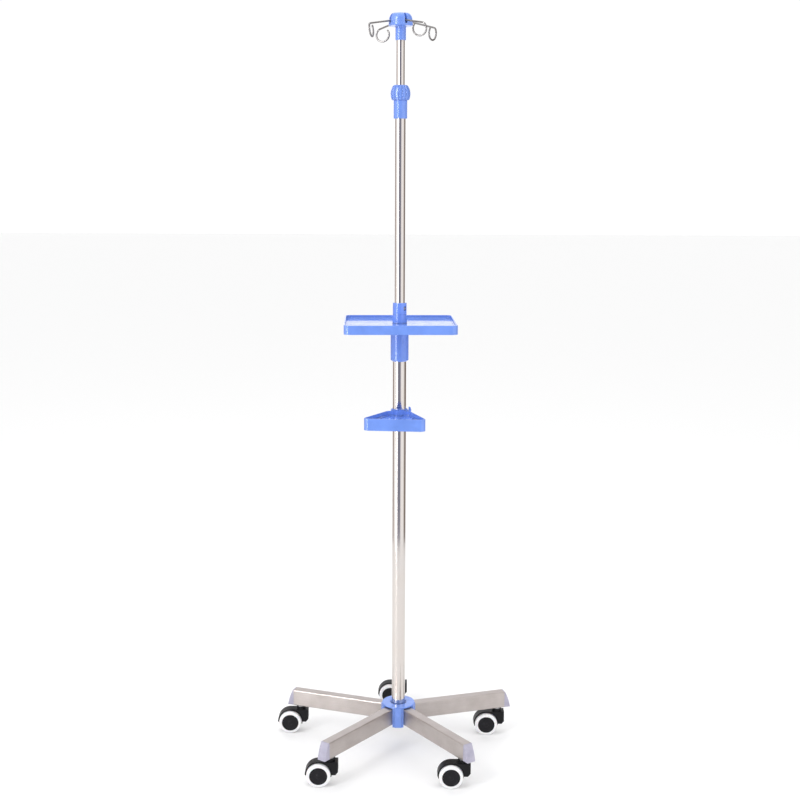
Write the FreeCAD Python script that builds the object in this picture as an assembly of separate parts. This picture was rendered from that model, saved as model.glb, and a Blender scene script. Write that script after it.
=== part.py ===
import FreeCAD, Part
import math
import os

# Mobile infusion stand, in millimetres. +Z is up, and the origin is on the floor under the pole's axis.
# -Y is the front, the side that the small tray is on. Each node is written to parts/NODE.step.

# Telescopic pole
LOWER_TUBE_R = 16.0
MIDDLE_TUBE_R = 12.0
TOP_TUBE_R = 9.5
LOWER_TUBE_WALL = 1.5
MIDDLE_TUBE_WALL = 1.2
TOP_TUBE_WALL = 1.2
LOWER_TUBE_Z = (70.0, 1010.0)
MIDDLE_TUBE_Z = (930.0, 1560.0)
TOP_TUBE_Z = (1040.0, 1735.0)
SLIDE_FIT = 0.08
LOOSE_GAP = 0.3
FIXED_GAP = 0.05

# Five-leg base
LEG_COUNT = 5
LEG_START_DEG = 89.0
LEG_WIDTH = 24.0
LEG_WALL = 1.5
LEG_Z = (69.0, 109.0)
LEG_INNER_R = 22.0
LEG_END_R = 275.5
LEG_EDGE_R = 2.5
CAP_TOP_PROUD = 2.5
CAP_FOOT_PROUD = 16.0
HUB_RING_R = 40.0
HUB_RING_Z = (109.05, 114.0)
HUB_UNDERCUT = (34.5, 1.8)
HUB_FOOT_Z = 63.0
HUB_SLEEVE_R = 21.5
RIB_R = 39.0
RIB_BAR_R = 41.4
RIB_BAR_WIDTH = 18.5
RIB_BAR_INNER_R = 36.5

# Twin-wheel casters, all trailing towards -X
CASTER_R = 259.5
TRAIL = 27.0
WHEEL_R = 28.0
DISC_R = 20.8
WHEEL_Y = (5.0, 21.0)
AXLE_R = 3.0
STEM_R = 5.0
HOOD_R = 31.5
HOOD_BORE_R = 29.3
HOOD_HALF_WIDTH = 13.5
HOOD_BACK = 45.0
HOOD_EDGE_R = 1.4
HOOD_BOSS_Z = 66.0

# Pole fittings
REDUCER_R = 21.3
REDUCER_Z = (959.0, 1040.0)
LOCK_SLEEVE_R = 15.6
LOCK_SLEEVE_Z = (1514.0, 1554.5)
LOCK_SPIGOT_R = 14.0
NUT_R = 22.5
NUT_END_R = (19.6, 17.2)
NUT_Z = (1554.8, 1588.0)
NUT_RIBS = 16
NUT_GROOVE_R = 2.1
COLLET_Z = (1576.0, 1583.0)

# Large tray and its collar
TRAY_SIZE = (258.0, 230.0)
TRAY_CORNER_R = 14.0
TRAY_Z = (1034.0, 1055.0)
TRAY_FLOOR_Z = (1045.2, 1048.0)
TRAY_WALL = 3.0
TRAY_COVE_R = 2.5
TRAY_YAW = 1.5
TRAY_BOSS_R = (17.1, 16.2)
TRAY_BOSS_TOP_Z = 1069.0
COLLAR_R = 16.2
COLLAR_SPIGOT_R = 13.6
COLLAR_FLANGE_R = 16.5
COLLAR_Z = (1040.3, 1096.0)
SET_SCREW_DEG = -41.0
SET_SCREW_Z = 1083.0
SET_SCREW_POCKET = (7.4, 9.8)
SET_SCREW_POCKET_DEPTH = 2.4

# Small tray on the lower tube
SMALL_TRAY_Z = (815.0, 842.5)
SMALL_FLOOR_Z = (828.5, 831.0)
SMALL_WALL = 2.5
SMALL_FRONT_Y = -123.0
SMALL_REAR_Y = -14.0
SMALL_FRONT_HALF = 77.0
SMALL_REAR_HALF = 27.0
SMALL_CORNER_R = 12.0
SMALL_COVE_R = 2.0
SMALL_TRAY_YAW = -5.5
CUP_HOLE_R = 12.5
CUP_HOLE_X = 22.5
CUP_HOLE_Y = -54.0
LINER_R = 17.2
SMALL_BOSS_R = 20.5
KNOB_Z = 838.0
KNOB_WING_HALF = 12.5
KNOB_X = (21.3, 27.3)

# Hook head
HEAD_COLLAR_R = 12.0
HEAD_COLLAR_Z = 1686.5
HEAD_TOP_Z = 1745.5
DISH_FOOT_Z = 1713.0
DISH_R = 27.4
DISH_Z = (1717.0, 1724.5)
CAP_R = 26.4
CAP_Z = 1729.5
CROWN_R = 19.4
HEAD_SLOT_WIDTH = 5.2
HEAD_SLOT_OFFSET = -4.0
HEAD_SLOT_FLOOR_Z = 1721.5
HEAD_SLOT_INNER = 12.8
HOOK_COUNT = 4
HOOK_START_DEG = 36.0
HOOK_WIRE_R = 2.0
HOOK_PIVOT_R = 18.0
HOOK_PIVOT_Z = 1729.0
HOOK_PIN_R = 1.5
HOOK_DROOP_DEG = 9.7
HOOK_SET_DEG = (-12.5, 3.0, 5.5, 3.5)
HOOK_SET_X = 12.0
HOOK_SET_R = 16.0
HOOK_ARM = 65.8
HOOK_BEND_R = 7.0
HOOK_TWIST_DEG = 34.0
HOOK_RING_R = 15.2
HOOK_RING_START_DEG = 48.0
HOOK_RING_END_DEG = -212.0

X_AXIS = FreeCAD.Vector(1, 0, 0)
Y_AXIS = FreeCAD.Vector(0, 1, 0)
Z_AXIS = FreeCAD.Vector(0, 0, 1)


def vec(x, y, z):
    return FreeCAD.Vector(x, y, z)


def cylinder(radius, z_low, z_high, x=0.0, y=0.0):
    return Part.makeCylinder(radius, z_high - z_low, vec(x, y, z_low), Z_AXIS)


def rod(radius, start, end):
    run = end - start
    return Part.makeCylinder(radius, run.Length, start, run)


def block(x_span, y_span, z_span):
    size = (x_span[1] - x_span[0], y_span[1] - y_span[0], z_span[1] - z_span[0])
    return Part.makeBox(size[0], size[1], size[2], vec(x_span[0], y_span[0], z_span[0]))


def turned(shape, degrees, axis=Z_AXIS, centre=None):
    copy = shape.copy()
    copy.rotate(centre or vec(0, 0, 0), axis, degrees)
    return copy


def moved(shape, x, y, z=0.0):
    copy = shape.copy()
    copy.translate(vec(x, y, z))
    return copy


def joined(shapes):
    whole = shapes[0]
    for shape in shapes[1:]:
        whole = whole.fuse(shape)
    return whole.removeSplitter()


def lathe(profile):
    """Turns a closed outline of (radius, z) points about the pole's axis."""
    points = [vec(radius, 0, z) for radius, z in profile]
    face = Part.Face(Part.makePolygon(points + points[:1]))
    return face.revolve(vec(0, 0, 0), Z_AXIS, 360)


def sleeve(outer_r, inner_r, z_span, chamfer=0.0):
    low, high = z_span
    return lathe([
        (inner_r, low), (outer_r - chamfer, low), (outer_r, low + chamfer),
        (outer_r, high - chamfer), (outer_r - chamfer, high), (inner_r, high),
    ]) if chamfer else lathe([(inner_r, low), (outer_r, low), (outer_r, high), (inner_r, high)])


def chain(points):
    return [Part.makeLine(points[i], points[i + 1]) for i in range(len(points) - 1)]


def prism(outline, z_span):
    """Raises a closed plan outline, made of edges, from one height to another."""
    face = Part.Face(Part.Wire(outline))
    return moved(face, 0, 0, z_span[0]).extrude(vec(0, 0, z_span[1] - z_span[0]))


def rounded_outline(corners, radius):
    """Plan outline with straight sides and an arc of one radius at every corner."""
    count = len(corners)
    cuts = []
    for index, corner in enumerate(corners):
        to_last = (corners[index - 1] - corner).normalize()
        to_next = (corners[(index + 1) % count] - corner).normalize()
        half = to_last.getAngle(to_next) / 2
        reach = radius / math.tan(half)
        middle = (to_last + to_next).normalize() * (radius / math.sin(half) - radius)
        cuts.append((corner + to_last * reach, corner + middle, corner + to_next * reach))
    edges = []
    for index, (start, middle, end) in enumerate(cuts):
        edges.append(Part.Arc(start, middle, end).toShape())
        edges.append(Part.makeLine(end, cuts[(index + 1) % count][0]))
    return edges


def rectangle(size, inset=0.0):
    half_x = size[0] / 2 - inset
    half_y = size[1] / 2 - inset
    signs = ((-1, -1), (1, -1), (1, 1), (-1, 1))
    return [vec(x_sign * half_x, y_sign * half_y, 0) for x_sign, y_sign in signs]


def save(node, shape):
    shape.exportStep("parts/" + node + ".step")


def leg_angles():
    return [LEG_START_DEG + index * 360 / LEG_COUNT for index in range(LEG_COUNT)]


def caster_places():
    places = []
    for angle in leg_angles():
        turn = math.radians(angle)
        places.append((CASTER_R * math.cos(turn), CASTER_R * math.sin(turn)))
    return places


# ---- base ----

def hub_rib():
    """Block that fills the wedge between two legs, with a raised bar on its outer face; on the +X axis."""
    half_leg = LEG_WIDTH / 2 + FIXED_GAP
    half_gap = math.radians(180 / LEG_COUNT)
    inner_r = half_leg / math.sin(half_gap)
    half_width = RIB_R * math.tan(half_gap) - half_leg / math.cos(half_gap)
    wedge = [vec(inner_r, 0, 0), vec(RIB_R, -half_width, 0), vec(RIB_R, half_width, 0)]
    wedge_edges = [Part.makeLine(wedge[i], wedge[(i + 1) % 3]) for i in range(3)]
    web = prism(wedge_edges, (HUB_FOOT_Z, HUB_RING_Z[0] + HUB_UNDERCUT[1] + 0.5))
    bar_half = RIB_BAR_WIDTH / 2
    bar = block((RIB_BAR_INNER_R, RIB_BAR_R), (-bar_half, bar_half), (HUB_FOOT_Z, HUB_RING_Z[1] - 1.6))
    upright = [edge for edge in bar.Edges if edge.BoundBox.ZLength > 10 and edge.BoundBox.XMin > RIB_R]
    bar = bar.makeFillet(1.5, upright)
    return web.fuse(bar)


def make_base_hub():
    low, high = HUB_RING_Z
    undercut_r, undercut_height = HUB_UNDERCUT
    ring_low = low + undercut_height
    bore = LOWER_TUBE_R + FIXED_GAP
    ring = lathe([
        (bore, low - 3), (HUB_SLEEVE_R, low - 3), (HUB_SLEEVE_R, low), (undercut_r, low),
        (undercut_r, ring_low), (HUB_RING_R, ring_low), (HUB_RING_R, high - 1.2), (HUB_RING_R - 1.2, high),
        (bore + 4, high), (bore, high - 4),
    ])
    core = sleeve(HUB_SLEEVE_R, bore, (HUB_FOOT_Z, low - 3))
    floor = cylinder(bore + 1, HUB_FOOT_Z, LOWER_TUBE_Z[0] - FIXED_GAP).cut(cylinder(6.2, HUB_FOOT_Z - 1, 80))
    ribs = [turned(hub_rib(), angle + 180 / LEG_COUNT) for angle in leg_angles()]
    save("base_hub", joined([ring, core, floor] + ribs))


def make_hub_bolt():
    head = cylinder(16.0, HUB_FOOT_Z - 3, HUB_FOOT_Z)
    hexagon = Part.makePolygon([
        vec(9.5 * math.cos(math.radians(60 * i)), 9.5 * math.sin(math.radians(60 * i)), 0) for i in range(7)
    ])
    hex_head = moved(Part.Face(hexagon), 0, 0, HUB_FOOT_Z - 10).extrude(vec(0, 0, 7))
    shank = cylinder(6.0, HUB_FOOT_Z - 3, LOWER_TUBE_Z[0])
    inner_r = LOWER_TUBE_R - LOWER_TUBE_WALL - FIXED_GAP
    plug = cylinder(inner_r, LOWER_TUBE_Z[0], LOWER_TUBE_Z[0] + 28)
    save("hub_bolt", joined([head, hex_head, shank, plug]))


def rectangular_bar(width, z_span, r_span, edge_r):
    bar = block(r_span, (-width / 2, width / 2), z_span)
    long_edges = [edge for edge in bar.Edges if edge.BoundBox.XLength > 1]
    return bar.makeFillet(edge_r, long_edges)


def make_legs():
    r_span = (LEG_INNER_R, LEG_END_R)
    outer = rectangular_bar(LEG_WIDTH, LEG_Z, r_span, LEG_EDGE_R)
    inner_z = (LEG_Z[0] + LEG_WALL, LEG_Z[1] - LEG_WALL)
    inner = rectangular_bar(LEG_WIDTH - 2 * LEG_WALL, inner_z, (r_span[0] - 1, r_span[1] + 1), LEG_EDGE_R - 1)
    stem_hole = cylinder(STEM_R + 0.5 + FIXED_GAP, LEG_Z[0] - 1, LEG_Z[0] + 5, CASTER_R)
    bolt_hole = cylinder(3.0, LEG_Z[0] - 1, LEG_Z[0] + 5, 58.0)
    leg = outer.cut(inner).cut(stem_hole).cut(bolt_hole)
    for number, angle in enumerate(leg_angles(), start=1):
        save("leg_%d" % number, turned(leg, angle))


def make_leg_bolts():
    """Button-head screws under the legs, close to the hub."""
    bolt = cylinder(5.0, LEG_Z[0] - 3, LEG_Z[0])
    rim = [edge for edge in bolt.Edges if abs(edge.BoundBox.ZMax - (LEG_Z[0] - 3)) < 0.01]
    bolt = bolt.makeFillet(1.8, rim).fuse(cylinder(2.9, LEG_Z[0] - 1, LEG_Z[0] + 8))
    bolt = bolt.cut(cylinder(1.6, LEG_Z[0] - 4, LEG_Z[0] - 1))
    bolts = [turned(moved(bolt, 58.0, 0), angle) for angle in leg_angles()]
    save("leg_bolts", Part.makeCompound(bolts))


def make_leg_end_caps():
    """Wedge-shaped plugs in the legs' outer ends, wider at the foot."""
    low = LEG_Z[0] + 0.3
    high = LEG_Z[1] - 0.3
    foot = vec(LEG_END_R + CAP_FOOT_PROUD, 0, low)
    crown = vec(LEG_END_R + CAP_TOP_PROUD, 0, high)
    bulge = (foot + crown) / 2 + vec(1.6, 0, 0.6)
    inner_low = vec(LEG_END_R + FIXED_GAP, 0, low)
    inner_high = vec(LEG_END_R + FIXED_GAP, 0, high)
    outline = Part.Wire([
        Part.makeLine(inner_low, foot), Part.Arc(foot, bulge, crown).toShape(),
        Part.makeLine(crown, inner_high), Part.makeLine(inner_high, inner_low),
    ])
    half = LEG_WIDTH / 2 - 0.3
    wedge = moved(Part.Face(outline), 0, -half).extrude(vec(0, 2 * half, 0))
    outer_edges = [
        edge for edge in wedge.Edges if edge.BoundBox.XMax > LEG_END_R + 2 and edge.BoundBox.YLength < 1
    ]
    wedge = wedge.makeFillet(1.4, outer_edges)
    plug_half = LEG_WIDTH / 2 - LEG_WALL - 0.2
    plug_z = (LEG_Z[0] + LEG_WALL + 0.2, LEG_Z[1] - LEG_WALL - 0.2)
    plug = block((LEG_END_R - 9, LEG_END_R + 1), (-plug_half, plug_half), plug_z)
    corners = [edge for edge in plug.Edges if edge.BoundBox.XLength > 1]
    cap = wedge.fuse(plug.makeFillet(1.6, corners))
    save("leg_end_caps", Part.makeCompound([turned(cap, angle) for angle in leg_angles()]))


# ---- casters ----

def make_caster_stems():
    profile = [
        (0, 43), (STEM_R, 43), (STEM_R, HOOD_BOSS_Z + LOOSE_GAP), (9, HOOD_BOSS_Z + LOOSE_GAP),
        (9, LEG_Z[0]), (STEM_R + 0.5, LEG_Z[0]), (STEM_R + 0.5, 96), (0, 96),
    ]
    stem = lathe(profile)
    save("caster_stems", Part.makeCompound([moved(stem, x, y) for x, y in caster_places()]))


def hood_shell():
    """Round cover over both wheels, with a squared back that carries the stem."""
    half = HOOD_HALF_WIDTH
    back = HOOD_BACK - TRAIL
    top_z = WHEEL_R + HOOD_R
    drum = Part.makeCylinder(HOOD_R, 2 * half, vec(-TRAIL, -half, WHEEL_R), Y_AXIS)
    corners = [
        vec(-TRAIL, 0, WHEEL_R), vec(back - 6, 0, WHEEL_R), vec(back, 0, WHEEL_R + 7), vec(back, 0, top_z),
        vec(-TRAIL, 0, top_z),
    ]
    side_face = Part.Face(Part.makePolygon(corners + corners[:1]))
    squared_back = moved(side_face, 0, -half).extrude(vec(0, 2 * half, 0))
    shell = drum.fuse(squared_back).removeSplitter()
    shell = shell.cut(block((-90, 40), (-30, 30), (-20, WHEEL_R)))
    rims = [edge for edge in shell.Edges if edge.BoundBox.YLength < 0.1 and edge.BoundBox.ZMax > WHEEL_R + 8]
    return shell.makeFillet(HOOD_EDGE_R, rims)


def make_hood():
    axle_end = vec(-TRAIL, -30, WHEEL_R)
    wheel_room = Part.makeCylinder(HOOD_BORE_R, 60, axle_end, Y_AXIS)
    web_half = WHEEL_Y[0] - 0.5
    web = Part.makeCylinder(HOOD_BORE_R + 1, 2 * web_half, vec(-TRAIL, -web_half, WHEEL_R), Y_AXIS)
    web = web.cut(block((-80, 20), (-10, 10), (-10, WHEEL_R - 9)))
    boss = cylinder(11.0, WHEEL_R + HOOD_R - 3, HOOD_BOSS_Z)
    hood = joined([hood_shell().cut(wheel_room), web, boss])
    stem_bore = cylinder(STEM_R + FIXED_GAP, 42.5, HOOD_BOSS_Z + 1)
    axle_bore = Part.makeCylinder(AXLE_R, 60, axle_end, Y_AXIS)
    return hood.cut(stem_bore).cut(axle_bore)


def wheel_core(side):
    """Black wheel disc with a raised outer face and a hub that runs on the axle."""
    inner, outer = WHEEL_Y
    profile = [
        (AXLE_R + FIXED_GAP, inner), (9, inner), (9, inner + 2), (DISC_R, inner + 2), (DISC_R, outer - 0.8),
        (DISC_R - 1.2, outer + 0.4), (DISC_R - 3.5, outer + 0.4), (DISC_R - 4.3, outer - 0.3),
        (6, outer - 0.3), (4.5, outer + 0.6), (0, outer + 0.6), (0, outer - 2),
        (AXLE_R + FIXED_GAP, outer - 2),
    ]
    return on_axle(profile, side)


def tyre(side):
    inner, outer = WHEEL_Y
    groove = WHEEL_R - 2
    profile = [
        (DISC_R + FIXED_GAP, inner + 0.5), (groove, inner + 0.5), (WHEEL_R, inner + 2.5),
        (WHEEL_R, outer - 3.5), (WHEEL_R - 1, outer - 1.4), (WHEEL_R - 3, outer - 0.3),
        (DISC_R + FIXED_GAP, outer - 0.3),
    ]
    return on_axle(profile, side)


def on_axle(profile, side):
    """Turns an outline of (radius, distance from the caster's middle) about the axle, on one side of it."""
    points = [vec(-TRAIL + radius, side * distance, WHEEL_R) for radius, distance in profile]
    face = Part.Face(Part.makePolygon(points + points[:1]))
    return face.revolve(vec(-TRAIL, 0, WHEEL_R), Y_AXIS, 360)


def make_casters():
    hood = make_hood()
    axle = Part.makeCylinder(AXLE_R, 36, vec(-TRAIL, -18, WHEEL_R), Y_AXIS)
    sides = {"front": -1, "rear": 1}
    for number, (x, y) in enumerate(caster_places(), start=1):
        save("caster_hood_%d" % number, moved(hood, x, y))
        save("caster_axle_%d" % number, moved(axle, x, y))
        for side_name, side in sides.items():
            save("wheel_%d_%s" % (number, side_name), moved(wheel_core(side), x, y))
            save("tyre_%d_%s" % (number, side_name), moved(tyre(side), x, y))


# ---- pole ----

def make_tubes():
    tubes = {
        "lower_tube": (LOWER_TUBE_R, LOWER_TUBE_WALL, LOWER_TUBE_Z),
        "middle_tube": (MIDDLE_TUBE_R, MIDDLE_TUBE_WALL, MIDDLE_TUBE_Z),
        "top_tube": (TOP_TUBE_R, TOP_TUBE_WALL, TOP_TUBE_Z),
    }
    for node, (radius, wall, z_span) in tubes.items():
        save(node, sleeve(radius, radius - wall, z_span))


def make_reducer_sleeve():
    """Sleeve that joins the lower tube to the thinner middle tube, over and inside the joint."""
    low, high = REDUCER_Z
    outer = LOWER_TUBE_R + FIXED_GAP
    bore = MIDDLE_TUBE_R + FIXED_GAP
    tube_top = LOWER_TUBE_Z[1] + FIXED_GAP
    bush_r = LOWER_TUBE_R - LOWER_TUBE_WALL - FIXED_GAP
    save("reducer_sleeve", lathe([
        (outer, low), (REDUCER_R - 3.5, low), (REDUCER_R, low + 3.0), (REDUCER_R, high - 0.8),
        (REDUCER_R - 0.8, high), (bore, high), (bore, MIDDLE_TUBE_Z[0]), (bush_r, MIDDLE_TUBE_Z[0]),
        (bush_r, tube_top), (outer, tube_top),
    ]))


def make_lock_sleeve():
    low, high = LOCK_SLEEVE_Z
    bore = MIDDLE_TUBE_R + FIXED_GAP
    save("lock_sleeve", lathe([
        (bore, low), (LOCK_SLEEVE_R - 1, low), (LOCK_SLEEVE_R, low + 1), (LOCK_SLEEVE_R, high),
        (LOCK_SPIGOT_R, high), (LOCK_SPIGOT_R, high + 16), (bore, high + 16),
    ]))


def make_lock_collet():
    """Split ring that the nut squeezes on the top tube."""
    low = MIDDLE_TUBE_Z[1] + FIXED_GAP
    bore = TOP_TUBE_R + SLIDE_FIT
    taper_low, high = COLLET_Z
    ring = lathe([
        (bore, low), (MIDDLE_TUBE_R, low), (MIDDLE_TUBE_R, taper_low), (bore + 0.7, high), (bore, high),
    ])
    slit = block((0, 20), (-0.75, 0.75), (low + 2, high + 1))
    save("lock_collet", ring.cut(joined([turned(slit, 90 * index) for index in range(4)])))


def make_lock_nut():
    """Barrel-shaped twist nut with upright grooves all round."""
    low, high = NUT_Z
    foot_r, head_r = NUT_END_R
    bore = LOCK_SPIGOT_R + LOOSE_GAP
    spigot_top = LOCK_SLEEVE_Z[1] + 17
    mouth = TOP_TUBE_R + 0.6
    room_r = MIDDLE_TUBE_R + 0.5
    barrel_foot = vec(foot_r, 0, low + 1)
    barrel_head = vec(head_r, 0, high - 1.5)
    barrel = Part.Arc(barrel_foot, vec(NUT_R, 0, low + 14), barrel_head).toShape()
    edges = chain([vec(bore, 0, low), vec(foot_r - 1, 0, low), barrel_foot])
    edges.append(barrel)
    edges += chain([
        barrel_head, vec(head_r - 1.5, 0, high), vec(mouth, 0, high), vec(mouth, 0, high - 3.5),
        vec(room_r, 0, high - 10), vec(room_r, 0, spigot_top), vec(bore, 0, spigot_top), vec(bore, 0, low),
    ])
    body = Part.Face(Part.Wire(edges)).revolve(vec(0, 0, 0), Z_AXIS, 360)
    groove = Part.makeTorus(barrel.Curve.Radius + 0.6, NUT_GROOVE_R, barrel.Curve.Center, Y_AXIS)
    groove = groove.common(block((head_r - 4, NUT_R + 4), (-3, 3), (low - 2, high + 2)))
    grooves = [turned(groove, (index + 0.5) * 360 / NUT_RIBS) for index in range(NUT_RIBS)]
    save("lock_nut", body.cut(grooves))


def make_top_tube_bush():
    """Guide ring at the foot of the top tube, inside the middle tube."""
    outer = MIDDLE_TUBE_R - MIDDLE_TUBE_WALL - SLIDE_FIT
    low = TOP_TUBE_Z[0]
    save("top_tube_bush", lathe([
        (5, low - 4), (outer, low - 4), (outer, low + 24), (TOP_TUBE_R + FIXED_GAP, low + 24),
        (TOP_TUBE_R + FIXED_GAP, low - FIXED_GAP), (5, low - FIXED_GAP),
    ]))


# ---- large tray ----

def tray_cavity(outline, floor_z, top_z, cove_r):
    """Room inside a tray's rim, with a cove where the floor meets the walls."""
    cavity = prism(outline, (floor_z, top_z))
    foot = [edge for edge in cavity.Edges if edge.BoundBox.ZMax < floor_z + 0.01]
    return cavity.makeFillet(cove_r, foot)


def make_tray():
    low, high = TRAY_Z
    floor_low, floor_top = TRAY_FLOOR_Z
    outline = rounded_outline(rectangle(TRAY_SIZE), TRAY_CORNER_R)
    inner = rounded_outline(rectangle(TRAY_SIZE, TRAY_WALL), TRAY_CORNER_R - TRAY_WALL)
    body = prism(outline, TRAY_Z)
    body = body.makeFillet(1.2, [edge for edge in body.Edges if edge.BoundBox.ZMin > high - 0.01])
    body = body.cut(tray_cavity(inner, floor_top, high + 1, TRAY_COVE_R))
    body = body.cut(prism(inner, (low - 1, floor_low)))
    foot_r, head_r = TRAY_BOSS_R
    bore = COLLAR_SPIGOT_R + SLIDE_FIT
    boss = lathe([
        (bore, floor_low), (foot_r + 1.5, floor_low), (foot_r + 1.5, floor_top), (foot_r, floor_top),
        (foot_r, floor_top + 4.5), (head_r, TRAY_BOSS_TOP_Z), (bore, TRAY_BOSS_TOP_Z),
    ])
    flange_room = cylinder(COLLAR_FLANGE_R + LOOSE_GAP, low, floor_low + 0.8)
    body = body.cut(cylinder(bore + 1, low, high)).fuse(boss).cut(flange_room)
    save("tray", turned(body.removeSplitter(), TRAY_YAW))


def make_tray_collar():
    low, high = COLLAR_Z
    bore = MIDDLE_TUBE_R + SLIDE_FIT
    head_low = TRAY_BOSS_TOP_Z + LOOSE_GAP
    flange_top = TRAY_FLOOR_Z[0] + 0.5
    collar = lathe([
        (bore, low), (COLLAR_FLANGE_R, low), (COLLAR_FLANGE_R, flange_top), (COLLAR_SPIGOT_R, flange_top),
        (COLLAR_SPIGOT_R, head_low), (COLLAR_R, head_low), (COLLAR_R, high - 0.8), (COLLAR_R - 0.8, high),
        (bore, high),
    ])
    half_width = SET_SCREW_POCKET[0] / 2
    half_height = SET_SCREW_POCKET[1] / 2
    pocket = block(
        (COLLAR_R - SET_SCREW_POCKET_DEPTH, COLLAR_R + 5), (-half_width, half_width),
        (SET_SCREW_Z - half_height, SET_SCREW_Z + half_height),
    )
    pocket = pocket.makeFillet(2.0, [edge for edge in pocket.Edges if edge.BoundBox.XLength > 1])
    thread = rod(3.0, vec(MIDDLE_TUBE_R - 1, 0, SET_SCREW_Z), vec(COLLAR_R, 0, SET_SCREW_Z))
    save("tray_collar", collar.cut(turned(pocket.fuse(thread), SET_SCREW_DEG)))


def make_tray_set_screw():
    tip = vec(MIDDLE_TUBE_R + 0.1, 0, SET_SCREW_Z)
    end = vec(COLLAR_R - 1.2, 0, SET_SCREW_Z)
    screw = rod(2.95, tip, end)
    socket = rod(1.5, end - vec(1.6, 0, 0), end + vec(1, 0, 0))
    save("tray_set_screw", turned(screw.cut(socket), SET_SCREW_DEG))


# ---- small tray ----

def small_tray_corners(inset):
    side = math.atan2(SMALL_FRONT_HALF - SMALL_REAR_HALF, SMALL_REAR_Y - SMALL_FRONT_Y)
    slope = math.tan(side)
    front_half = SMALL_FRONT_HALF - inset / math.cos(side) - inset * slope
    rear_half = SMALL_REAR_HALF - inset / math.cos(side) + inset * slope
    front_y = SMALL_FRONT_Y + inset
    rear_y = SMALL_REAR_Y - inset
    return [
        vec(-front_half, front_y, 0), vec(front_half, front_y, 0),
        vec(rear_half, rear_y, 0), vec(-rear_half, rear_y, 0),
    ]


def make_small_tray():
    low, high = SMALL_TRAY_Z
    outline = rounded_outline(small_tray_corners(0), SMALL_CORNER_R)
    inner = rounded_outline(small_tray_corners(SMALL_WALL), SMALL_CORNER_R - SMALL_WALL)
    body = prism(outline, SMALL_TRAY_Z)
    body = body.makeFillet(1.0, [edge for edge in body.Edges if edge.BoundBox.ZMin > high - 0.01])
    body = body.cut(tray_cavity(inner, SMALL_FLOOR_Z[1], high + 1, SMALL_COVE_R))
    body = body.cut(prism(inner, (low - 1, SMALL_FLOOR_Z[0])))
    bead_low = SMALL_FLOOR_Z[0] - 4
    bead_high = SMALL_FLOOR_Z[1] + 0.8
    hole_places = (-CUP_HOLE_X, CUP_HOLE_X)
    beads = [cylinder(CUP_HOLE_R + 1.6, bead_low, bead_high, x, CUP_HOLE_Y) for x in hole_places]
    boss = cylinder(SMALL_BOSS_R, low, high + 2)
    tray = joined([body, boss] + beads)
    for x in hole_places:
        tray = tray.cut(cylinder(CUP_HOLE_R, low - 1, high + 1, x, CUP_HOLE_Y))
    tray = tray.cut(cylinder(LINER_R + SLIDE_FIT, low - 1, high + 3))
    tray = tray.cut(rod(2.6, vec(LINER_R - 1, 0, KNOB_Z), vec(SMALL_BOSS_R + 5, 0, KNOB_Z)))
    save("small_tray", turned(tray.removeSplitter(), SMALL_TRAY_YAW))


def make_small_tray_liner():
    """Thin nylon sleeve between the small tray's boss and the pole."""
    low, high = SMALL_TRAY_Z
    bore = LOWER_TUBE_R + SLIDE_FIT
    save("small_tray_liner", lathe([
        (bore, low - 1.6), (LINER_R + 1.6, low - 1.6), (LINER_R + 1.6, low - LOOSE_GAP),
        (LINER_R, low - LOOSE_GAP), (LINER_R, high + 2 + LOOSE_GAP), (LINER_R + 1.2, high + 2 + LOOSE_GAP),
        (LINER_R + 1.2, high + 3.6), (bore, high + 3.6),
    ]))


def make_small_tray_knob():
    """Thumbscrew with two wings, at the side of the small tray's boss."""
    shaft = rod(2.55, vec(LINER_R + 0.2, 0, KNOB_Z), vec(KNOB_X[0] + 2, 0, KNOB_Z))
    hub = rod(6.0, vec(KNOB_X[0], 0, KNOB_Z), vec(KNOB_X[1] + 1, 0, KNOB_Z))
    wing = block((KNOB_X[0] + 0.6, KNOB_X[1]), (-1.9, 1.9), (KNOB_Z - KNOB_WING_HALF, KNOB_Z + KNOB_WING_HALF))
    tips = [edge for edge in wing.Edges if edge.BoundBox.YLength > 3 and edge.BoundBox.XMin > KNOB_X[1] - 1]
    wing = wing.makeFillet(4.0, tips)
    save("small_tray_knob", turned(joined([shaft, hub, wing]), SMALL_TRAY_YAW))


# ---- hook head ----

def hook_angles():
    return [HOOK_START_DEG + index * 360 / HOOK_COUNT for index in range(HOOK_COUNT)]


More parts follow.
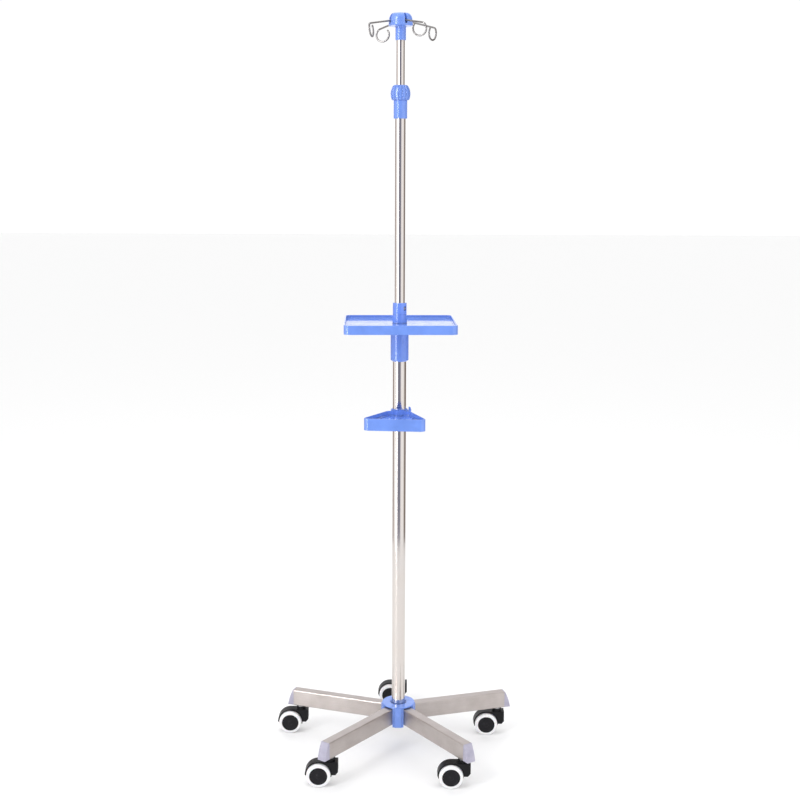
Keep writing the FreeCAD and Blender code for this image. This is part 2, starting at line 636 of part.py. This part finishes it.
def head_profile():
    """Half section of the head: collar, thick dish rim and domed cap."""
    bore = TOP_TUBE_R + FIXED_GAP
    tube_end = TOP_TUBE_Z[1] + FIXED_GAP
    collar_r = HEAD_COLLAR_R
    low = HEAD_COLLAR_Z
    dish_low, dish_high = DISH_Z
    collar_head = vec(collar_r, 0, DISH_FOOT_Z)
    cove_end = vec(collar_r + 4, 0, dish_low - 0.4)
    cove_middle = vec(collar_r + 1.1, 0, DISH_FOOT_Z + 2.6)
    rim_foot = vec(DISH_R - 2, 0, dish_low)
    rim_side = vec(DISH_R, 0, dish_low + 2)
    rim_middle = vec(DISH_R - 0.6, 0, dish_low + 0.6)
    cap_foot = vec(CAP_R, 0, CAP_Z)
    crown = vec(CROWN_R, 0, HEAD_TOP_Z - 1)
    shoulder = vec(CAP_R - 1.8, 0, CAP_Z + 9)
    edges = chain([
        vec(bore, 0, tube_end), vec(bore, 0, low), vec(collar_r - 0.6, 0, low),
        vec(collar_r, 0, low + 0.6), collar_head,
    ])
    edges.append(Part.Arc(collar_head, cove_middle, cove_end).toShape())
    edges += chain([cove_end, rim_foot])
    edges.append(Part.Arc(rim_foot, rim_middle, rim_side).toShape())
    edges += chain([rim_side, vec(DISH_R, 0, dish_high), vec(CAP_R, 0, dish_high + 1), cap_foot])
    edges.append(Part.Arc(cap_foot, shoulder, crown).toShape())
    edges += chain([crown, vec(0, 0, HEAD_TOP_Z), vec(0, 0, tube_end), vec(bore, 0, tube_end)])
    return Part.Face(Part.Wire(edges))


def make_hook_hub():
    """Head of the pole, with four slots that are open at the top and the side."""
    head = head_profile().revolve(vec(0, 0, 0), Z_AXIS, 360)
    side = HEAD_SLOT_OFFSET - HEAD_SLOT_WIDTH / 2
    slot_sides = (side, side + HEAD_SLOT_WIDTH)
    for angle in hook_angles():
        slot = block((HEAD_SLOT_INNER, 40), slot_sides, (HEAD_SLOT_FLOOR_Z, HEAD_TOP_Z + 1))
        head = head.cut(turned(slot, angle))
        head = head.cut(turned(pivot_rod(HOOK_PIN_R + 0.02, 7.0), angle))
    save("hook_hub", head)


def pivot_rod(radius, half_length):
    start = vec(HOOK_PIVOT_R, HEAD_SLOT_OFFSET - half_length, HOOK_PIVOT_Z)
    return rod(radius, start, start + vec(0, 2 * half_length, 0))


def make_hook_pins():
    pins = [turned(pivot_rod(HOOK_PIN_R, 6.8), angle) for angle in hook_angles()]
    save("hook_pins", Part.makeCompound(pins))


def hook_path(set_degrees):
    """Centre line of a wire hook: root, sideways set, arm, bend, and an open ring that is twisted."""
    set_side = math.copysign(1, set_degrees)
    set_centre = vec(HOOK_SET_X, set_side * HOOK_SET_R, 0)
    root_end = vec(HOOK_SET_X, 0, 0)
    half_turned = turned(Part.Vertex(root_end), set_degrees / 2, Z_AXIS, set_centre).Point
    arm_start = turned(Part.Vertex(root_end), set_degrees, Z_AXIS, set_centre).Point

    twist = math.radians(HOOK_TWIST_DEG + set_degrees)
    arm_turn = math.radians(set_degrees)
    forward = vec(math.cos(arm_turn), math.sin(arm_turn), 0)
    across = vec(math.cos(twist), math.sin(twist), 0)

    def ring_offset(degrees):
        angle = math.radians(degrees)
        return (across * math.cos(angle) + Z_AXIS * math.sin(angle)) * HOOK_RING_R

    ring_start = math.radians(HOOK_RING_START_DEG)
    heading = across * math.sin(ring_start) - Z_AXIS * math.cos(ring_start)
    bend_turn = forward.getAngle(heading)
    inward = (heading - forward * heading.dot(forward)).normalize()

    arm_end = arm_start + forward * (HOOK_ARM - HOOK_SET_X - HOOK_SET_R * abs(arm_turn))

    def bend_point(turn):
        return arm_end + (forward * math.sin(turn) + inward * (1 - math.cos(turn))) * HOOK_BEND_R

    ring_centre = bend_point(bend_turn) - ring_offset(HOOK_RING_START_DEG)
    ring_end = ring_centre + ring_offset(HOOK_RING_END_DEG)
    ring_middle = ring_centre + ring_offset((HOOK_RING_START_DEG + HOOK_RING_END_DEG) / 2)
    edges = [
        Part.makeLine(vec(2.5, 0, 0), root_end),
        Part.Arc(root_end, half_turned, arm_start).toShape(),
        Part.makeLine(arm_start, arm_end),
        Part.Arc(arm_end, bend_point(bend_turn / 2), bend_point(bend_turn)).toShape(),
        Part.Arc(bend_point(bend_turn), ring_middle, ring_end).toShape(),
    ]
    return Part.Wire(edges), ring_end


def hook_shape(set_degrees):
    """Wire hook on the +X side, at rest on its drooped arm."""
    path, ring_end = hook_path(set_degrees)
    section = Part.Wire(Part.makeCircle(HOOK_WIRE_R, vec(2.5, 0, 0), X_AXIS))
    wire = path.makePipeShell([section], True, True)
    tip = Part.makeSphere(HOOK_WIRE_R, ring_end)
    eye = Part.makeCylinder(3.6, 4.4, vec(0, -2.2, 0), Y_AXIS)
    bore = Part.makeCylinder(HOOK_PIN_R + SLIDE_FIT, 8, vec(0, -4, 0), Y_AXIS)
    hook = joined([wire, tip, eye]).cut(bore)
    hook = turned(hook, HOOK_DROOP_DEG, Y_AXIS)
    return moved(hook, HOOK_PIVOT_R, HEAD_SLOT_OFFSET, HOOK_PIVOT_Z)


def make_hooks():
    for number, (angle, set_degrees) in enumerate(zip(hook_angles(), HOOK_SET_DEG), start=1):
        save("hook_%d" % number, turned(hook_shape(set_degrees), angle))


def main():
    os.makedirs("parts", exist_ok=True)
    make_base_hub()
    make_hub_bolt()
    make_legs()
    make_leg_bolts()
    make_leg_end_caps()
    make_caster_stems()
    make_casters()
    make_tubes()
    make_reducer_sleeve()
    make_lock_sleeve()
    make_lock_collet()
    make_lock_nut()
    make_top_tube_bush()
    make_tray()
    make_tray_collar()
    make_tray_set_screw()
    make_small_tray()
    make_small_tray_liner()
    make_small_tray_knob()
    make_hook_hub()
    make_hook_pins()
    make_hooks()


main()
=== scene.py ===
import math

import bpy
from mathutils import Matrix, Vector


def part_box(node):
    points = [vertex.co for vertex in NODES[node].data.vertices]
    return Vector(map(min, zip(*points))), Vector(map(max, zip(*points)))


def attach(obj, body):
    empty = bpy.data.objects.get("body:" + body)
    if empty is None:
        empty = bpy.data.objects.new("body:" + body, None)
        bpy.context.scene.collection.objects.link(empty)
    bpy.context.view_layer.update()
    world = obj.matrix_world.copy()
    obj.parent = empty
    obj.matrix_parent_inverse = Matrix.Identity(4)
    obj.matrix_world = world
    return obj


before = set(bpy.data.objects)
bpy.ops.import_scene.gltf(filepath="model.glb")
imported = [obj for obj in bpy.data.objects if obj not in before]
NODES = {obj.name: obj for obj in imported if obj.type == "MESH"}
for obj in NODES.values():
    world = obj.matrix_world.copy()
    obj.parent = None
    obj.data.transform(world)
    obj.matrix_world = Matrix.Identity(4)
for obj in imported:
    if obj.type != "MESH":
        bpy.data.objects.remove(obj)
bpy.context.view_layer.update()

MM = 0.001
LEGS = 5
HOOKS = 4
SIDES = ("front", "rear")

# Camera: its place, its downward pitch, its roll and its lens
CAMERA_PLACE = Vector((0.0014, -2.9427, 1.3764))
CAMERA_PITCH_DEG = 9.84
CAMERA_ROLL_DEG = 0.21
CAMERA_LENS_MM = 57.0
CAMERA_SENSOR_MM = 36.0

# Large tray: its turn about the pole, and how far its floor is above its lower edge
TRAY_YAW_DEG = 1.5
TRAY_FLOOR_UP = 11.5 * MM

# Studio: the floor, the level of the even light, and the ring of panels that shiny surfaces reflect,
# whose brightest panel is under STUDIO_PEAK
FLOOR_HALF = 30.0
FLOOR_TONE = 0.94
WORLD_LEVEL = 1.02
STUDIO_PEAK = 13.0
WALL_R = 1.8
WALL_TOP = 3.4
WALL_SIDES = 96


# ---------------------------------------------------------------- node helpers

class Shader:
    """A Principled material, built one node at a time. Textures are placed in the object's own metres."""

    def __init__(self, name, colour, roughness, metallic=0.0, **sockets):
        self.material = bpy.data.materials.new(name)
        self.material.use_nodes = True
        self.tree = self.material.node_tree
        self.surface = self.tree.nodes["Principled BSDF"]
        self.surface.inputs["Base Color"].default_value = (*colour, 1.0)
        self.surface.inputs["Roughness"].default_value = roughness
        self.surface.inputs["Metallic"].default_value = metallic
        for socket, value in sockets.items():
            self.surface.inputs[socket.replace("_", " ")].default_value = value
        self.place = self.add("ShaderNodeTexCoord").outputs["Object"]

    def add(self, kind, **settings):
        node = self.tree.nodes.new(kind)
        for key, value in settings.items():
            setattr(node, key, value)
        return node

    def link(self, source, target):
        self.tree.links.new(source, target)

    def mapped(self, scale, turn_deg=0.0):
        """The object's own coordinates, turned about Z and then stretched."""
        turn = self.add("ShaderNodeMapping", vector_type="POINT")
        turn.inputs["Rotation"].default_value = (0.0, 0.0, math.radians(turn_deg))
        stretch = self.add("ShaderNodeMapping", vector_type="POINT")
        stretch.inputs["Scale"].default_value = scale
        self.link(self.place, turn.inputs["Vector"])
        self.link(turn.outputs["Vector"], stretch.inputs["Vector"])
        return stretch.outputs["Vector"]

    def noise(self, scale, detail=3.0, vector=None, rough=0.55):
        node = self.add("ShaderNodeTexNoise")
        node.inputs["Scale"].default_value = scale
        node.inputs["Detail"].default_value = detail
        node.inputs["Roughness"].default_value = rough
        self.link(vector or self.place, node.inputs["Vector"])
        return node.outputs["Fac"]

    def ranged(self, value, low, high, from_low=0.3, from_high=0.7):
        node = self.add("ShaderNodeMapRange", clamp=True)
        node.inputs["From Min"].default_value = from_low
        node.inputs["From Max"].default_value = from_high
        node.inputs["To Min"].default_value = low
        node.inputs["To Max"].default_value = high
        self.link(value, node.inputs["Value"])
        return node.outputs["Result"]

    def maths(self, operation, first, second):
        node = self.add("ShaderNodeMath", operation=operation)
        for index, value in enumerate((first, second)):
            if isinstance(value, (int, float)):
                node.inputs[index].default_value = value
            else:
                self.link(value, node.inputs[index])
        return node.outputs["Value"]

    def blend(self, factor, first, second):
        """Mixes two colours, each a tuple or a socket."""
        node = self.add("ShaderNodeMix", data_type="RGBA")
        self.link(factor, node.inputs["Factor"])
        for socket, value in (("A", first), ("B", second)):
            slot = [entry for entry in node.inputs if entry.name == socket and entry.type == "RGBA"][0]
            if isinstance(value, tuple):
                slot.default_value = (*value, 1.0)
            else:
                self.link(value, slot)
        return [entry for entry in node.outputs if entry.type == "RGBA"][0]

    def edge_mask(self, radius):
        """One on convex and concave edges, zero on flat faces."""
        bevel = self.add("ShaderNodeBevel", samples=4)
        bevel.inputs["Radius"].default_value = radius
        geometry = self.add("ShaderNodeNewGeometry")
        dot = self.add("ShaderNodeVectorMath", operation="DOT_PRODUCT")
        self.link(bevel.outputs["Normal"], dot.inputs[0])
        self.link(geometry.outputs["Normal"], dot.inputs[1])
        return self.ranged(dot.outputs["Value"], 1.0, 0.0, 0.75, 0.99)

    def shade_mask_in_hollows(self, reach):
        """Zero deep in grooves and tight corners, one on open faces: the mask for painted shade."""
        node = self.add("ShaderNodeAmbientOcclusion", samples=6, only_local=True)
        node.inputs["Distance"].default_value = reach
        return self.ranged(node.outputs["AO"], 0.0, 1.0, 0.25, 0.92)

    def relief(self, height, strength, depth, edge_radius=0.0):
        """Adds a bump, over softened edges where a radius is given."""
        node = self.add("ShaderNodeBump")
        node.inputs["Strength"].default_value = strength
        node.inputs["Distance"].default_value = depth
        self.link(height, node.inputs["Height"])
        if edge_radius:
            bevel = self.add("ShaderNodeBevel", samples=4)
            bevel.inputs["Radius"].default_value = edge_radius
            self.link(bevel.outputs["Normal"], node.inputs["Normal"])
        self.link(node.outputs["Normal"], self.surface.inputs["Normal"])

    def colour(self, value):
        self.link(value, self.surface.inputs["Base Color"])

    def roughness(self, value):
        self.link(value, self.surface.inputs["Roughness"])


# ---------------------------------------------------------------- materials

def blue_plastic(name, gloss, grain_depth):
    """Injection-moulded blue plastic: flow mottling, fine grain, paler edges that are part rubbing wear and
    part painted highlight, and painted shade in hollows.
    """
    base = (0.155, 0.290, 0.80)
    shader = Shader(name, base, gloss, IOR=1.5, Coat_Weight=0.5, Coat_Roughness=0.06)
    deep = tuple(channel * 0.90 for channel in base)
    light = tuple(min(1.0, channel * 1.08 + 0.01) for channel in base)
    rubbed_and_highlit = tuple(min(1.0, channel * 1.15 + 0.05) for channel in base)
    flow = shader.ranged(shader.noise(22.0, 4.0), 0.0, 1.0)
    # painted shade: grooves, hollows and tight corners are darkened towards navy by an ambient-occlusion mask
    painted_hollow_shade = tuple(channel * 0.30 for channel in base)
    body = shader.blend(shader.shade_mask_in_hollows(0.005), painted_hollow_shade, shader.blend(flow, deep, light))
    # paler edges: partly rubbing wear in a noisy pattern, partly a painted highlight on the rounded edges
    wear_and_highlight = shader.maths("MULTIPLY", shader.edge_mask(0.0009), shader.ranged(shader.noise(160.0), 0.15, 0.7))
    shader.colour(shader.blend(wear_and_highlight, body, rubbed_and_highlit))
    handling = shader.ranged(shader.noise(45.0, 5.0), gloss - 0.07, gloss + 0.12)
    shader.roughness(handling)
    grain = shader.noise(2600.0, 2.0)
    shader.relief(grain, grain_depth, 0.00005, edge_radius=0.0006)
    return shader.material


def polished_steel():
    """Drawn and polished stainless tube: hair-fine lengthways polish lines and dull handled patches."""
    base = (0.66, 0.625, 0.605)
    shader = Shader("polished_steel", base, 0.12, metallic=1.0)
    lines = shader.noise(1.0, 3.0, shader.mapped((1400.0, 1400.0, 9.0)), 0.7)
    patches = shader.noise(14.0, 5.0)
    polish = shader.ranged(lines, 0.07, 0.16)
    handled = shader.ranged(patches, 0.0, 0.07, 0.45, 0.75)
    shader.roughness(shader.maths("ADD", polish, handled))
    tint = shader.ranged(patches, 0.0, 1.0)
    warm = (base[0], base[1] * 0.97, base[2] * 0.94)
    shader.colour(shader.blend(tint, base, warm))
    shader.relief(lines, 0.05, 0.00004)
    return shader.material


def brushed_steel(name, leg_deg):
    """Brushed stainless box section: long fine scratches along the leg, with soft mottling."""
    shader = Shader(name, (0.53, 0.49, 0.47), 0.34, metallic=1.0)
    along = shader.mapped((14.0, 1900.0, 1900.0), -leg_deg)
    brush = shader.noise(1.0, 4.0, along, 0.75)
    cloud = shader.noise(26.0, 5.0)
    tone = shader.maths("ADD", shader.ranged(brush, 0.0, 0.5), shader.ranged(cloud, 0.0, 0.5))
    shader.colour(shader.blend(tone, (0.40, 0.355, 0.335), (0.56, 0.515, 0.495)))
    shader.roughness(shader.maths("ADD", shader.ranged(brush, 0.26, 0.40), shader.ranged(cloud, 0.0, 0.06)))
    shader.relief(brush, 0.22, 0.00006, edge_radius=0.0009)
    return shader.material


def hook_wire():
    """Drawn steel wire with duller patches."""
    shader = Shader("hook_wire", (0.27, 0.26, 0.255), 0.26, metallic=1.0)
    rub = shader.noise(120.0, 4.0)
    shader.roughness(shader.ranged(rub, 0.20, 0.34))
    shader.colour(shader.blend(shader.ranged(rub, 0.0, 1.0), (0.23, 0.22, 0.215), (0.32, 0.31, 0.305)))
    shader.relief(shader.noise(1800.0, 2.0), 0.06, 0.00004)
    return shader.material


def zinc_steel():
    """Zinc-plated steel with a faint crystalline spangle."""
    shader = Shader("zinc_steel", (0.60, 0.60, 0.62), 0.33, metallic=1.0)
    cells = shader.add("ShaderNodeTexVoronoi", feature="F1")
    cells.inputs["Scale"].default_value = 900.0
    shader.link(shader.place, cells.inputs["Vector"])
    spangle = shader.ranged(cells.outputs["Distance"], 0.0, 1.0, 0.0, 0.8)
    shader.colour(shader.blend(spangle, (0.52, 0.52, 0.55), (0.70, 0.69, 0.68)))
    shader.roughness(shader.ranged(shader.noise(300.0, 3.0), 0.24, 0.44))
    shader.relief(spangle, 0.08, 0.00004, edge_radius=0.0003)
    return shader.material


def end_cap_plastic():
    """Matte lavender-grey moulding with spark-eroded grain."""
    shader = Shader("end_cap_plastic", (0.40, 0.38, 0.48), 0.42, IOR=1.47)
    cloud = shader.ranged(shader.noise(70.0, 4.0), 0.0, 1.0)
    shader.colour(shader.blend(cloud, (0.36, 0.345, 0.445), (0.45, 0.43, 0.53)))
    grain = shader.noise(2100.0, 3.0)
    shader.roughness(shader.ranged(grain, 0.34, 0.52))
    shader.relief(grain, 0.30, 0.00010, edge_radius=0.0007)
    return shader.material


def caster_plastic(name, base, gloss):
    """Black nylon with mould grain, scuffed grey on its edges."""
    shader = Shader(name, base, gloss, IOR=1.5, Specular_IOR_Level=0.16)
    scratches = shader.ranged(shader.noise(220.0, 4.0), 0.0, 0.55, 0.45, 0.7)
    scuff = shader.maths("MULTIPLY", shader.edge_mask(0.0010), scratches)
    dust = shader.ranged(shader.noise(60.0, 5.0), 0.0, 0.35, 0.5, 0.8)
    dusty = shader.blend(dust, base, (0.020, 0.0195, 0.021))
    shader.colour(shader.blend(scuff, dusty, (0.09, 0.088, 0.092)))
    grain = shader.noise(2400.0, 3.0)
    shader.roughness(shader.ranged(grain, gloss - 0.06, gloss + 0.12))
    shader.relief(grain, 0.35, 0.00010, edge_radius=0.0006)
    return shader.material


def white_tyre():
    """Soft white polyurethane, greyed in patches."""
    shader = Shader(
        "white_tyre", (0.84, 0.83, 0.85), 0.5, IOR=1.48, Subsurface_Weight=0.08, Subsurface_Scale=0.003
    )
    rolled = shader.ranged(shader.noise(130.0, 6.0), 0.0, 0.6, 0.48, 0.75)
    shader.colour(shader.blend(rolled, (0.86, 0.85, 0.87), (0.66, 0.65, 0.66)))
    shader.roughness(shader.ranged(shader.noise(500.0, 3.0), 0.42, 0.60))
    shader.relief(shader.noise(1500.0, 3.0), 0.18, 0.00008, edge_radius=0.0005)
    return shader.material


def nylon():
    """Natural nylon, slightly milky."""
    shader = Shader("nylon", (0.72, 0.71, 0.67), 0.4, Subsurface_Weight=0.15, Subsurface_Scale=0.004)
    cloud = shader.ranged(shader.noise(90.0, 3.0), 0.0, 1.0)
    shader.colour(shader.blend(cloud, (0.68, 0.67, 0.62), (0.76, 0.75, 0.71)))
    shader.relief(shader.noise(1900.0, 2.0), 0.15, 0.00008)
    return shader.material


def give(node, material):
    """Puts a material on a CAD node in place of its packed one."""
    for slot in NODES[node].material_slots:
        slot.material = material


def dress_nodes():
    blue = blue_plastic("blue_plastic", gloss=0.20, grain_depth=0.03)
    tray_blue = blue_plastic("tray_blue_plastic", gloss=0.15, grain_depth=0.012)
    steel = polished_steel()
    zinc = zinc_steel()
    black = caster_plastic("caster_plastic", (0.008, 0.0078, 0.0095), 0.36)
    disc = caster_plastic("wheel_disc_plastic", (0.011, 0.0105, 0.013), 0.30)
    white = white_tyre()
    wire = hook_wire()
    pale = nylon()
    blues = (
        "base_hub", "reducer_sleeve", "lock_sleeve", "lock_nut", "hook_hub", "tray_collar", "small_tray_knob",
        "small_tray_liner",
    )
    zincs = ("hub_bolt", "leg_bolts", "caster_stems", "hook_pins", "tray_set_screw")
    plan = {node: blue for node in blues}
    plan.update({node: tray_blue for node in ("tray", "small_tray")})
    plan.update({node: steel for node in ("lower_tube", "middle_tube", "top_tube")})
    plan.update({node: zinc for node in zincs})
    plan.update({node: pale for node in ("lock_collet", "top_tube_bush")})
    plan["leg_end_caps"] = end_cap_plastic()
    for number in range(1, HOOKS + 1):
        plan["hook_%d" % number] = wire
    for number in range(1, LEGS + 1):
        plan["leg_%d" % number] = brushed_steel("brushed_steel_%d" % number, leg_direction(number))
        plan["caster_hood_%d" % number] = black
        plan["caster_axle_%d" % number] = zinc
        for side in SIDES:
            plan["wheel_%d_%s" % (number, side)] = disc
            plan["tyre_%d_%s" % (number, side)] = white
    for node, material in plan.items():
        give(node, material)


def leg_direction(number):
    """Azimuth of a leg, in degrees, from the box of its node."""
    low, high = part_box("leg_%d" % number)
    middle = (low + high) / 2
    return math.degrees(math.atan2(middle.y, middle.x))


# ---------------------------------------------------------------- ribs under the large tray

RIB_HALF = 0.8 * MM
RIB_FOOT_HALF = 0.55 * MM
RIB_FOOT_ROUND = 0.4 * MM
RIB_FOOT_UP = 2.5 * MM
RIB_EDGE_GAP = 9 * MM
RIB_HUB_R = 27 * MM
RIB_CROSSING = 0.5
RIB_CORNER_REACH = 0.94


def rib(start, end, top_z, foot_z):
    """One moulded rib between two plan points: thicker at the floor it hangs from, with a rounded foot."""
    run = (end - start).normalized()
    side = Vector((-run.y, run.x))
    round_z = foot_z + RIB_FOOT_ROUND
    section = (
        (RIB_HALF, top_z), (RIB_FOOT_HALF, round_z), (0.5 * RIB_FOOT_HALF, foot_z),
        (-0.5 * RIB_FOOT_HALF, foot_z), (-RIB_FOOT_HALF, round_z), (-RIB_HALF, top_z),
    )
    points = [(*(place + side * half), z) for place in (start, end) for half, z in section]
    count = len(section)
    faces = [(i, (i + 1) % count, count + (i + 1) % count, count + i) for i in range(count)]
    return points, faces + [tuple(reversed(range(count))), tuple(range(count, 2 * count))]


def ribs_piece(name, lines, top_z, foot_z, body):
    points, faces = [], []
    for start, end in lines:
        more_points, more_faces = rib(Vector(start), Vector(end), top_z, foot_z)
        faces += [tuple(index + len(points) for index in face) for face in more_faces]
        points += more_points
    mesh = bpy.data.meshes.new(name)
    mesh.from_pydata(points, [], faces)
    piece = bpy.data.objects.new(name, mesh)
    bpy.context.collection.objects.link(piece)
    mesh.materials.append(bpy.data.materials["blue_plastic"])
    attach(piece, body)


def make_tray_ribs():
    """Stiffening ribs under the large tray: eight rays from its hub, crossed by two ribs each way."""
    low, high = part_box("tray")
    half_x = (high.x - low.x) / 2 - RIB_EDGE_GAP
    half_y = (high.y - low.y) / 2 - RIB_EDGE_GAP
    cross_x = RIB_CROSSING * half_x
    cross_y = RIB_CROSSING * half_y
    corner_x = RIB_CORNER_REACH * half_x
    corner_y = RIB_CORNER_REACH * half_y
    reach = RIB_HUB_R / math.sqrt(2)
    turn = Matrix.Rotation(math.radians(TRAY_YAW_DEG), 2)
    lines = []
    for sign in (-1, 1):
        lines.append(((sign * RIB_HUB_R, 0), (sign * half_x, 0)))
        lines.append(((0, sign * RIB_HUB_R), (0, sign * half_y)))
        lines.append(((sign * cross_x, -half_y), (sign * cross_x, half_y)))
        lines.append(((-half_x, sign * cross_y), (half_x, sign * cross_y)))
        for y_sign in (-1, 1):
            lines.append(((sign * reach, y_sign * reach), (sign * corner_x, y_sign * corner_y)))
    lines = [(turn @ Vector(start), turn @ Vector(end)) for start, end in lines]
    ribs_piece("tray_ribs", lines, low.z + TRAY_FLOOR_UP, low.z + RIB_FOOT_UP, "tray_plate")


# ---------------------------------------------------------------- studio

def area_light(name, place, target, size, power):
    data = bpy.data.lights.new(name, "AREA")
    data.shape = "RECTANGLE"
    data.size, data.size_y = size
    data.energy = power
    light = bpy.data.objects.new(name, data)
    light.location = place
    light.rotation_euler = (Vector(target) - Vector(place)).to_track_quat("-Z", "Y").to_euler()
    bpy.context.collection.objects.link(light)


def make_floor():
    corners = [(x * FLOOR_HALF, y * FLOOR_HALF, 0) for x, y in ((-1, -1), (1, -1), (1, 1), (-1, 1))]
    mesh = bpy.data.meshes.new("floor")
    mesh.from_pydata(corners, [], [(0, 1, 2, 3)])
    floor = bpy.data.objects.new("floor", mesh)
    bpy.context.collection.objects.link(floor)
    mesh.materials.append(Shader("studio_floor", (FLOOR_TONE,) * 3, 0.7).material)


def make_world():
    """Even pale light from all round, which is also the backdrop that the camera sees."""
    world = bpy.data.worlds.new("studio")
    bpy.context.scene.world = world
    world.use_nodes = True
    ground = world.node_tree.nodes["Background"]
    ground.inputs["Color"].default_value = (1.0, 1.0, 1.0, 1.0)
    ground.inputs["Strength"].default_value = WORLD_LEVEL


# Studio tone all round: level and colour against the azimuth from the camera's side, negative to the left
STUDIO_BANDS = (
    (-180, 1.15, (1.00, 1.00, 1.03)), (-150, 1.05, (1.00, 0.98, 0.98)), (-138, 0.30, (1.25, 0.95, 0.86)),
    (-114, 0.32, (1.20, 0.95, 0.88)), (-100, 1.20, (1.00, 1.00, 1.00)), (-58, 1.35, (1.00, 1.00, 1.00)),
    (-52, 1.60, (1.00, 1.00, 1.00)), (-48, 12.0, (1.00, 1.00, 1.00)), (-43, 12.0, (1.00, 1.00, 1.00)),
    (-39, 1.50, (1.00, 1.00, 1.00)), (-24, 0.48, (0.92, 0.93, 1.15)), (-6, 0.26, (0.90, 0.94, 1.20)),
    (16, 0.34, (0.90, 0.94, 1.20)), (28, 1.20, (1.00, 1.00, 1.02)), (70, 1.25, (1.00, 1.00, 1.00)),
    (92, 0.60, (1.05, 1.00, 0.96)), (108, 0.20, (1.20, 0.97, 0.86)), (140, 0.18, (1.20, 0.97, 0.86)),
    (152, 1.05, (1.00, 0.98, 0.98)), (180, 1.15, (1.00, 1.00, 1.03)),
)


def make_studio_wall():
    """Ring of soft light and dark panels round the object. Only shiny surfaces see it."""
    sides = WALL_SIDES
    ring = [(math.cos(2 * math.pi * i / sides), math.sin(2 * math.pi * i / sides)) for i in range(sides)]
    points = [(WALL_R * x, WALL_R * y, z) for z in (0.0, WALL_TOP) for x, y in ring]
    faces = [(i, (i + 1) % sides, sides + (i + 1) % sides, sides + i) for i in range(sides)]
    mesh = bpy.data.meshes.new("studio_wall")
    mesh.from_pydata(points, [], faces)
    wall = bpy.data.objects.new("studio_wall", mesh)
    bpy.context.collection.objects.link(wall)
    wall.visible_camera = False
    wall.visible_diffuse = False
    wall.visible_shadow = False

    material = bpy.data.materials.new("studio_wall")
    material.use_nodes = True
    nodes, links = material.node_tree.nodes, material.node_tree.links
    nodes.clear()
    place = nodes.new("ShaderNodeTexCoord")
    split = nodes.new("ShaderNodeSeparateXYZ")
    links.new(place.outputs["Object"], split.inputs["Vector"])
    flip = nodes.new("ShaderNodeMath")
    flip.operation = "MULTIPLY"
    flip.inputs[1].default_value = -1.0
    links.new(split.outputs["Y"], flip.inputs[0])
    azimuth = nodes.new("ShaderNodeMath")
    azimuth.operation = "ARCTAN2"
    links.new(split.outputs["X"], azimuth.inputs[0])
    links.new(flip.outputs["Value"], azimuth.inputs[1])
    turn = nodes.new("ShaderNodeMapRange")
    turn.inputs["From Min"].default_value = -math.pi
    turn.inputs["From Max"].default_value = math.pi
    links.new(azimuth.outputs["Value"], turn.inputs["Value"])
    bands = nodes.new("ShaderNodeValToRGB")
    links.new(turn.outputs["Result"], bands.inputs["Fac"])
    fill_bands(bands.color_ramp)
    glow = nodes.new("ShaderNodeEmission")
    glow.inputs["Strength"].default_value = STUDIO_PEAK
    links.new(bands.outputs["Color"], glow.inputs["Color"])
    output = nodes.new("ShaderNodeOutputMaterial")
    links.new(glow.outputs["Emission"], output.inputs["Surface"])
    mesh.materials.append(material)


def fill_bands(ramp):
    ramp.interpolation = "EASE"
    while len(ramp.elements) < len(STUDIO_BANDS):
        ramp.elements.new(0.5)
    for element, (degrees, _, _) in zip(ramp.elements, STUDIO_BANDS):
        element.position = (degrees + 180) / 360
    for element, (_, level, tint) in zip(ramp.elements, STUDIO_BANDS):
        element.color = (*[level * channel / STUDIO_PEAK for channel in tint], 1.0)


def make_lights():
    area_light("key", (-2.2, -2.4, 3.0), (0, 0, 0.9), (1.2, 1.8), 34)
    area_light("fill", (2.6, -2.0, 2.0), (0, 0, 0.9), (1.6, 2.4), 8)
    area_light("top", (0.0, 0.4, 4.2), (0, 0, 0.0), (2.4, 2.4), 16)


def make_camera():
    data = bpy.data.cameras.new("camera")
    data.lens = CAMERA_LENS_MM
    data.sensor_width = CAMERA_SENSOR_MM
    camera = bpy.data.objects.new("camera", data)
    pitch = Matrix.Rotation(math.radians(90 - CAMERA_PITCH_DEG), 4, "X")
    roll = Matrix.Rotation(math.radians(CAMERA_ROLL_DEG), 4, "Z")
    camera.matrix_world = Matrix.Translation(CAMERA_PLACE) @ pitch @ roll
    bpy.context.collection.objects.link(camera)
    bpy.context.scene.camera = camera


make_camera()
make_world()
make_lights()
make_floor()
make_studio_wall()
bpy.context.scene.view_settings.view_transform = "Standard"
dress_nodes()
make_tray_ribs()
